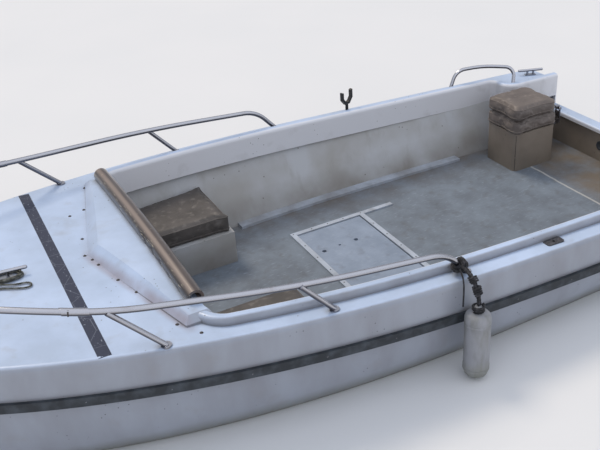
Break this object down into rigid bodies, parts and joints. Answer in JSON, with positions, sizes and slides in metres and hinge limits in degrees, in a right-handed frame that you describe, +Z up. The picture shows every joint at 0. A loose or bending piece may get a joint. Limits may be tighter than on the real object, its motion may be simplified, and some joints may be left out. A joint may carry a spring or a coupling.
{
  "type": "open day boat with oars' rowlocks",
  "caption": "Open glass-fibre rowing boat with a short foredeck, bench lockers, guard rails, rowlock sockets, floor hatch, folding helm seat and hanging fender.",
  "frame": {"origin": "amidships on the centreline, at the waterline the boat floats at", "axes": "+X forward to the bow, +Y to port, +Z up"},
  "size_m": [4.406, 2.0473, 1.0954],
  "materials": {
    "gelcoat_white": "gloss",
    "gelcoat_grey": "satin",
    "floor_paint": "matte",
    "rubber_black": "satin",
    "stainless": "polished",
    "foam_brown": "satin",
    "vinyl_brown": "satin",
    "vinyl_grey": "satin",
    "plastic_black": "matte",
    "galvanised": "matte",
    "fender_white": "satin",
    "rope_dark": "matte",
    "rope_olive": "matte"
  },
  "bodies": {
    "boat": {"bench_port": "gelcoat_grey", "bench_starboard": "gelcoat_grey", "bow_cleat": "stainless", "bow_rope": "rope_olive", "bulkhead": "gelcoat_grey", "cushion_port": "vinyl_brown", "cushion_starboard": "vinyl_brown", "edge_pipe": "foam_brown", "fender": "fender_white", "fender_knot": "rope_dark", "fender_rope": "rope_dark", "floor": "floor_paint", "floor_batten_port": "floor_paint", "floor_batten_starboard": "floor_paint", "foredeck": "gelcoat_white", "hatch_frame": "floor_paint", "hatch_ledge": "floor_paint", "hull_shell": "gelcoat_white", "keel": "gelcoat_white", "posts_port": "stainless", "posts_starboard": "stainless", "quarter_deck_port": "gelcoat_white", "quarter_deck_starboard": "gelcoat_white", "quarter_rail_port": "stainless", "quarter_rail_starboard": "stainless", "rail_bow": "stainless", "rail_feet": "stainless", "rail_port": "stainless", "rail_sleeves": "stainless", "rail_starboard": "stainless", "rowlock_socket_port": "galvanised", "rowlock_socket_starboard": "galvanised", "seat_box": "gelcoat_grey", "seat_cushion": "vinyl_grey", "seat_hinge_brackets": "stainless", "side_deck_port": "gelcoat_white", "side_deck_starboard": "gelcoat_white", "side_wall_port": "gelcoat_grey", "side_wall_starboard": "gelcoat_grey", "stern_cleats": "stainless", "strake_port": "rubber_black", "strake_starboard": "rubber_black", "transom_cap": "gelcoat_white", "transom_wall": "gelcoat_grey"},
    "hatch": {"hatch_cover": "floor_paint"},
    "seat_backrest": {"seat_back": "vinyl_grey", "seat_hinge_lugs": "stainless"},
    "crutch": {"rowlock_crutch": "plastic_black"}
  },
  "joints": [
    {"name": "hatch_lift", "type": "slide", "parent": "boat", "child": "hatch", "axis": [0, 0, 1], "range_m": [0, 0.25]},
    {"name": "seat_fold", "type": "hinge", "parent": "boat", "child": "seat_backrest", "pos_m": [-1.912, -0.465, 0.33], "axis": [0, -1, 0], "range_deg": [0, 100]},
    {"name": "crutch_turn", "type": "hinge", "parent": "boat", "child": "crutch", "pos_m": [-0.75, -0.88419, 0.42056], "axis": [0, 0, 1], "continuous": true}
  ]
}
